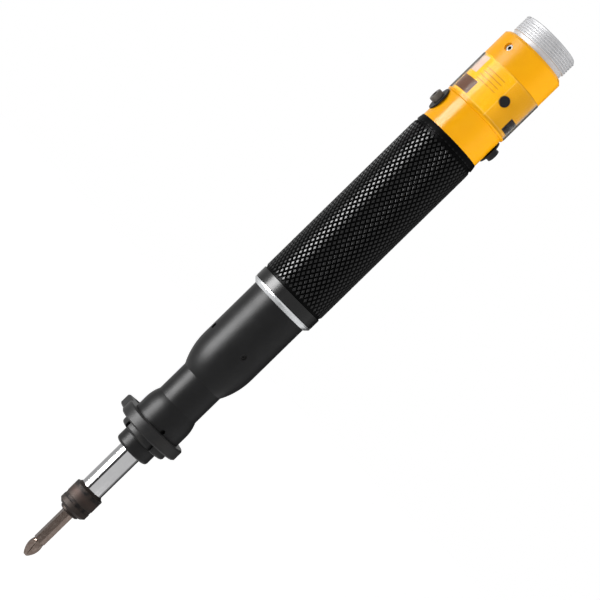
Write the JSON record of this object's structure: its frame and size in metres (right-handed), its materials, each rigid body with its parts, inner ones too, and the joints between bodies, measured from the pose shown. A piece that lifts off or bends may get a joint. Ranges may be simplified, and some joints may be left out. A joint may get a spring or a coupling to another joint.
{
  "type": "electric torque screwdriver",
  "caption": "Straight electric torque screwdriver for a fixture: cross-point bit, quick-change chuck, sliding spindle, eared flange, knurled grip, yellow rear end and round connector.",
  "frame": {"origin": "centre of the front face of the mounting flange, on the tool's axis", "axes": "+Z along the tool's axis towards the connector, with the bit pointing to -Z; +Y towards the flange's ear"},
  "size_m": [0.0466, 0.0464, 0.3856],
  "materials": {
    "black_anodised": "satin black anodised",
    "black_oxide_steel": "black oxide, slightly brown where it is worn",
    "ground_steel": "ground and polished",
    "bit_steel": "bare tool steel with a brown tint",
    "spring_steel": "drawn wire",
    "bronze": "sintered bronze",
    "black_rubber": "matt",
    "silver_ring": "bright turned",
    "machined_aluminium": "fine turned",
    "yellow_enamel": "smooth yellow enamel on aluminium",
    "label_film": "printed film",
    "clear_tube": "clear polycarbonate",
    "black_plastic": "moulded",
    "screw_steel": "browned steel",
    "core_steel": "laminated sheet",
    "magnet": "nickel plated",
    "copper": "enamelled copper wire",
    "lead_insulation": "insulated wire",
    "board_laminate": "solder mask",
    "component_black": "moulded packages",
    "contact_gold": "gold plated"
  },
  "bodies": {
    "root": {"mounting_flange": "black_oxide_steel", "flange_lock_nut": "black_oxide_steel", "nose_collar": "black_anodised", "spindle_bush": "bronze", "nose_wiper": "black_rubber", "gearcase_housing": "black_anodised", "gearcase_screws": "black_oxide_steel", "output_bearings": "ground_steel", "ring_gear": "ground_steel", "torque_transducer": "ground_steel", "clamp_ring": "silver_ring", "grip_tube": "black_anodised", "motor_front_plate": "machined_aluminium", "motor_case": "black_oxide_steel", "motor_rear_plate": "machined_aluminium", "stator_core": "core_steel", "stator_windings": "copper", "motor_bearings": "ground_steel", "encoder_board": "board_laminate", "control_board": "board_laminate", "board_components": "component_black", "board_supports": "black_plastic", "motor_leads": "lead_insulation", "connector_leads": "lead_insulation", "rear_housing": "yellow_enamel", "housing_seals": "black_rubber", "bail_washers": "black_oxide_steel", "bail_screws": "screw_steel", "label_wrap": "label_film", "clear_sleeve": "clear_tube", "rear_cap": "yellow_enamel", "cap_set_screw": "screw_steel", "connector_shell": "machined_aluminium", "connector_insert": "black_plastic", "connector_contacts": "contact_gold", "button_spring": "spring_steel"},
    "output_shaft": {"output_shaft": "ground_steel", "second_planet_pins": "ground_steel", "spindle_spring": "spring_steel"},
    "first_carrier": {"first_carrier": "ground_steel", "first_planet_pins": "ground_steel"},
    "rotor": {"rotor_shaft": "ground_steel", "rotor_magnet": "magnet", "encoder_magnet": "magnet"},
    "spindle": {"spindle": "ground_steel", "screwdriver_bit": "bit_steel", "chuck_clip": "black_oxide_steel", "chuck_spring": "spring_steel"},
    "chuck_sleeve": {"chuck_sleeve": "black_oxide_steel"},
    "lock_ball_1": {"lock_ball_1": "ground_steel"},
    "lock_ball_2": {"lock_ball_2": "ground_steel"},
    "function_button": {"function_button": "black_plastic"},
    "first_planet_1": {"first_planet_1": "ground_steel"},
    "first_planet_2": {"first_planet_2": "ground_steel"},
    "first_planet_3": {"first_planet_3": "ground_steel"},
    "second_planet_1": {"second_planet_1": "ground_steel"},
    "second_planet_2": {"second_planet_2": "ground_steel"},
    "second_planet_3": {"second_planet_3": "ground_steel"}
  },
  "joints": [
    {"name": "output_spin", "type": "hinge", "parent": "root", "child": "output_shaft", "pos_m": [0, 0, 0], "axis": [0, 0, 1], "continuous": true},
    {"name": "first_carrier_spin", "type": "hinge", "parent": "root", "child": "first_carrier", "pos_m": [0, 0, 0], "axis": [0, 0, 1], "continuous": true},
    {"name": "rotor_spin", "type": "hinge", "parent": "root", "child": "rotor", "pos_m": [0, 0, 0], "axis": [0, 0, 1], "continuous": true},
    {"name": "second_planet_1_spin", "type": "hinge", "parent": "output_shaft", "child": "second_planet_1", "pos_m": [0.0075, 0, 0], "axis": [0, 0, 1], "continuous": true},
    {"name": "second_planet_2_spin", "type": "hinge", "parent": "output_shaft", "child": "second_planet_2", "pos_m": [-0.00375, 0.0065, 0], "axis": [0, 0, 1], "continuous": true},
    {"name": "second_planet_3_spin", "type": "hinge", "parent": "output_shaft", "child": "second_planet_3", "pos_m": [-0.00375, -0.0065, 0], "axis": [0, 0, 1], "continuous": true},
    {"name": "first_planet_1_spin", "type": "hinge", "parent": "first_carrier", "child": "first_planet_1", "pos_m": [0.0075, 0, 0], "axis": [0, 0, 1], "continuous": true},
    {"name": "first_planet_2_spin", "type": "hinge", "parent": "first_carrier", "child": "first_planet_2", "pos_m": [-0.00375, 0.0065, 0], "axis": [0, 0, 1], "continuous": true},
    {"name": "first_planet_3_spin", "type": "hinge", "parent": "first_carrier", "child": "first_planet_3", "pos_m": [-0.00375, -0.0065, 0], "axis": [0, 0, 1], "continuous": true},
    {"name": "spindle_slide", "type": "slide", "parent": "output_shaft", "child": "spindle", "axis": [0, 0, 1], "range_m": [0, 0.025], "stiffness_N_per_m": 300, "springref_m": -0.01, "deforming": ["spindle_spring"]},
    {"name": "chuck_sleeve_slide", "type": "slide", "parent": "spindle", "child": "chuck_sleeve", "axis": [0, 0, -1], "range_m": [0, 0.0025], "stiffness_N_per_m": 1500, "springref_m": -0.001, "deforming": ["chuck_spring"]},
    {"name": "lock_ball_1_slide", "type": "slide", "parent": "spindle", "child": "lock_ball_1", "axis": [1, 0, 0], "range_m": [0, 0.00085]},
    {"name": "lock_ball_2_slide", "type": "slide", "parent": "spindle", "child": "lock_ball_2", "axis": [-1, 0, 0], "range_m": [0, 0.00085]},
    {"name": "button_press", "type": "slide", "parent": "root", "child": "function_button", "axis": [0.0523, 0.9986, 0], "range_m": [0, 0.0008], "stiffness_N_per_m": 900, "springref_m": -0.0008, "deforming": ["button_spring"]}
  ],
  "couplings": [
    {"joint": "first_carrier_spin", "follows": "output_spin", "ratio": 5},
    {"joint": "rotor_spin", "follows": "output_spin", "ratio": 25},
    {"joint": "second_planet_1_spin", "follows": "output_spin", "ratio": -2.6667},
    {"joint": "second_planet_2_spin", "follows": "output_spin", "ratio": -2.6667},
    {"joint": "second_planet_3_spin", "follows": "output_spin", "ratio": -2.6667},
    {"joint": "first_planet_1_spin", "follows": "output_spin", "ratio": -13.333},
    {"joint": "first_planet_2_spin", "follows": "output_spin", "ratio": -13.333},
    {"joint": "first_planet_3_spin", "follows": "output_spin", "ratio": -13.333},
    {"joint": "lock_ball_1_slide", "follows": "chuck_sleeve_slide", "ratio": 0.34},
    {"joint": "lock_ball_2_slide", "follows": "chuck_sleeve_slide", "ratio": 0.34}
  ]
}
